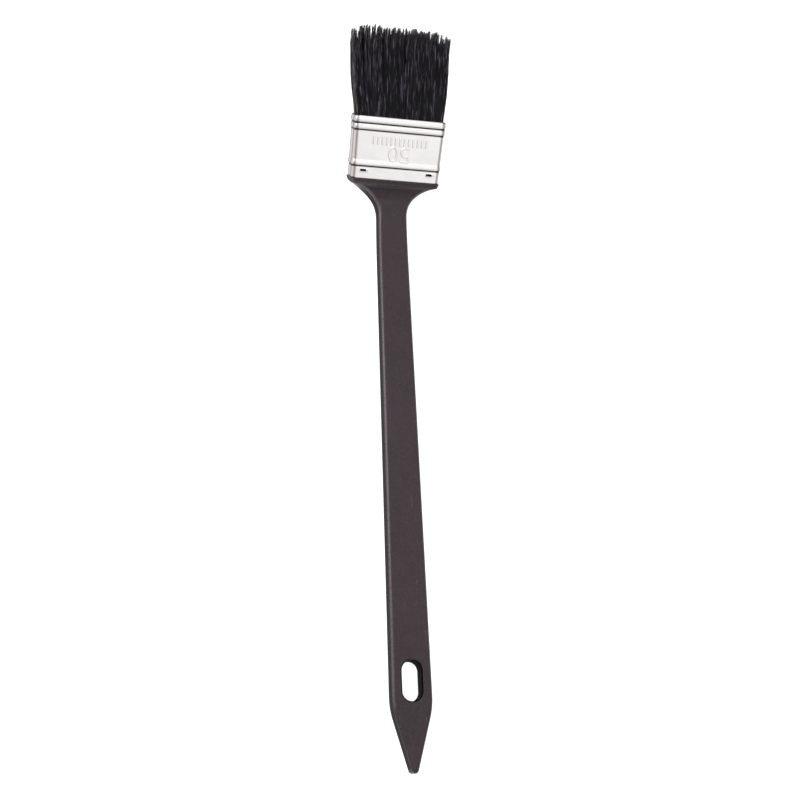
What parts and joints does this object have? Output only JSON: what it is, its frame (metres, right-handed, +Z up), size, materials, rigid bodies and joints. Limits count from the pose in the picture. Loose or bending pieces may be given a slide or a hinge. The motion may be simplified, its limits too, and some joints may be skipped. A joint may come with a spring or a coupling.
{
  "type": "radiator paint brush",
  "caption": "Long-handled flat paint brush for reaching behind radiators: slim moulded handle with a pointed, slotted tail and angled head, steel ferrule and black bristle.",
  "frame": {"origin": "middle of the handle's flat back, the face that the brush rests on", "axes": "+Z up out of the handle's front face, +Y along the handle towards the head, +X across the width"},
  "size_m": [0.0574, 0.3878, 0.0673],
  "materials": {
    "handle_plastic": "black polypropylene with a fine satin grain",
    "ferrule_steel": "bright tinned steel sheet with rolled beads",
    "bristle": "natural black bristle with a low sheen",
    "filler": "plain board",
    "epoxy": "amber cast resin"
  },
  "bodies": {
    "root": {"handle": "handle_plastic", "ferrule": "ferrule_steel", "bristle_row_front": "bristle", "bristle_row_middle": "bristle", "bristle_row_back": "bristle", "filler_strip_front": "filler", "filler_strip_back": "filler", "epoxy_setting": "epoxy"}
  },
  "joints": []
}
